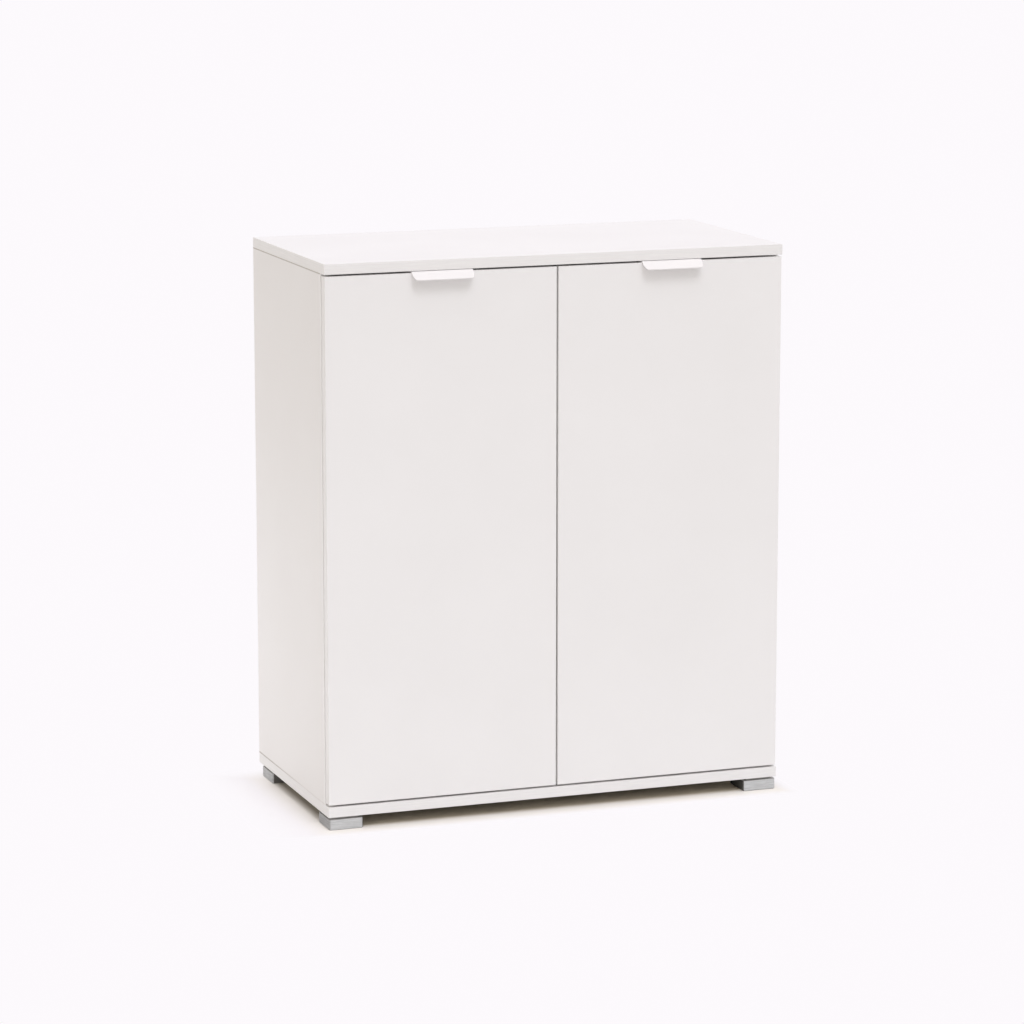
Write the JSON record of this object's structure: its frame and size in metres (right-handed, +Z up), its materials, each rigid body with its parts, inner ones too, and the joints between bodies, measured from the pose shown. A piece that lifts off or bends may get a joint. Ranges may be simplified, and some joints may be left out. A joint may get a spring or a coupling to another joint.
{
  "type": "kitchen base cabinet",
  "caption": "Free-standing base cabinet with a pair of doors on concealed hinges, sloping edge pulls, shelves on pegs and low square corner feet",
  "frame": {"origin": "on the floor, in the middle of the whole width and of the whole depth with the pulls", "axes": "+X to the right seen from the front, doors face -Y, +Z up"},
  "size_m": [0.74, 0.384, 0.865],
  "materials": {
    "top_melamine": "white melamine on particle board, satin",
    "door_melamine": "white melamine on particle board, satin",
    "side_melamine": "white melamine on particle board, satin",
    "inner_melamine": "white melamine on particle board, satin",
    "edge_banding": "white ABS edge banding with a faint grain",
    "back_board": "white lacquered thin fibreboard",
    "white_plastic": "white extruded plastic",
    "foot_plastic": "silver grey moulded plastic",
    "painted_pull": "white powder-coated sheet steel",
    "nickel_steel": "nickel-plated steel",
    "zinc_fitting": "bright zinc plated",
    "beech": "fluted beech, unfinished",
    "soft_bumper": "translucent soft plastic"
  },
  "bodies": {
    "carcass": {"top_panel": "top_melamine", "top_edge_bands": "edge_banding", "base_panel": "inner_melamine", "base_edge_bands": "edge_banding", "left_side_panel": "side_melamine", "right_side_panel": "side_melamine", "side_edge_bands": "edge_banding", "back_panel_left": "back_board", "back_panel_right": "back_board", "back_joining_strip": "white_plastic", "lower_shelf": "inner_melamine", "upper_shelf": "inner_melamine", "shelf_edge_bands": "edge_banding", "shelf_pegs": "zinc_fitting", "cam_locks": "zinc_fitting", "cam_bolts": "zinc_fitting", "wood_dowels": "beech", "foot_front_left": "foot_plastic", "foot_front_right": "foot_plastic", "foot_rear_left": "foot_plastic", "foot_rear_right": "foot_plastic", "foot_screws": "zinc_fitting", "left_lower_hinge_plate": "nickel_steel", "left_upper_hinge_plate": "nickel_steel", "right_lower_hinge_plate": "nickel_steel", "right_upper_hinge_plate": "nickel_steel", "hinge_plate_screws": "zinc_fitting", "left_lower_hinge_arm": "nickel_steel", "left_upper_hinge_arm": "nickel_steel", "right_lower_hinge_arm": "nickel_steel", "right_upper_hinge_arm": "nickel_steel", "hinge_arm_pins": "nickel_steel", "hinge_arm_screws": "zinc_fitting"},
    "left_door": {"left_door_panel": "door_melamine", "left_door_edge_bands": "edge_banding", "left_door_bumpers": "soft_bumper", "left_handle": "painted_pull", "left_handle_screws": "zinc_fitting", "left_lower_hinge_cup": "nickel_steel", "left_upper_hinge_cup": "nickel_steel", "left_cup_screws": "zinc_fitting", "left_cup_pins": "nickel_steel"},
    "left_outer_links_body": {"left_outer_links": "nickel_steel"},
    "left_inner_links_body": {"left_inner_links": "nickel_steel"},
    "right_door": {"right_door_panel": "door_melamine", "right_door_edge_bands": "edge_banding", "right_door_bumpers": "soft_bumper", "right_handle": "painted_pull", "right_handle_screws": "zinc_fitting", "right_lower_hinge_cup": "nickel_steel", "right_upper_hinge_cup": "nickel_steel", "right_cup_screws": "zinc_fitting", "right_cup_pins": "nickel_steel"},
    "right_outer_links_body": {"right_outer_links": "nickel_steel"},
    "right_inner_links_body": {"right_inner_links": "nickel_steel"}
  },
  "joints": [
    {"name": "left_outer_link_turn", "type": "hinge", "parent": "carcass", "child": "left_outer_links_body", "pos_m": [-0.3495, -0.159, 0.4425], "axis": [0, 0, 1], "range_deg": [0, 36.2]},
    {"name": "left_door_turn", "type": "hinge", "parent": "left_outer_links_body", "child": "left_door", "pos_m": [-0.361, -0.16735, 0.4425], "axis": [0, 0, -1], "range_deg": [0, 131.1]},
    {"name": "left_inner_link_turn", "type": "hinge", "parent": "carcass", "child": "left_inner_links_body", "pos_m": [-0.335, -0.146, 0.4425], "axis": [0, 0, 1], "range_deg": [0, 28.1]},
    {"name": "right_outer_link_turn", "type": "hinge", "parent": "carcass", "child": "right_outer_links_body", "pos_m": [0.3495, -0.159, 0.4425], "axis": [0, 0, -1], "range_deg": [0, 36.2]},
    {"name": "right_door_turn", "type": "hinge", "parent": "right_outer_links_body", "child": "right_door", "pos_m": [0.361, -0.16735, 0.4425], "axis": [0, 0, 1], "range_deg": [0, 131.1]},
    {"name": "right_inner_link_turn", "type": "hinge", "parent": "carcass", "child": "right_inner_links_body", "pos_m": [0.335, -0.146, 0.4425], "axis": [0, 0, -1], "range_deg": [0, 28.1]}
  ],
  "couplings": [
    {"joint": "left_outer_link_turn", "follows": "left_door_turn", "ratio": 0.27536},
    {"joint": "left_inner_link_turn", "follows": "left_door_turn", "ratio": 0.21377},
    {"joint": "right_outer_link_turn", "follows": "right_door_turn", "ratio": 0.27536},
    {"joint": "right_inner_link_turn", "follows": "right_door_turn", "ratio": 0.21377}
  ]
}
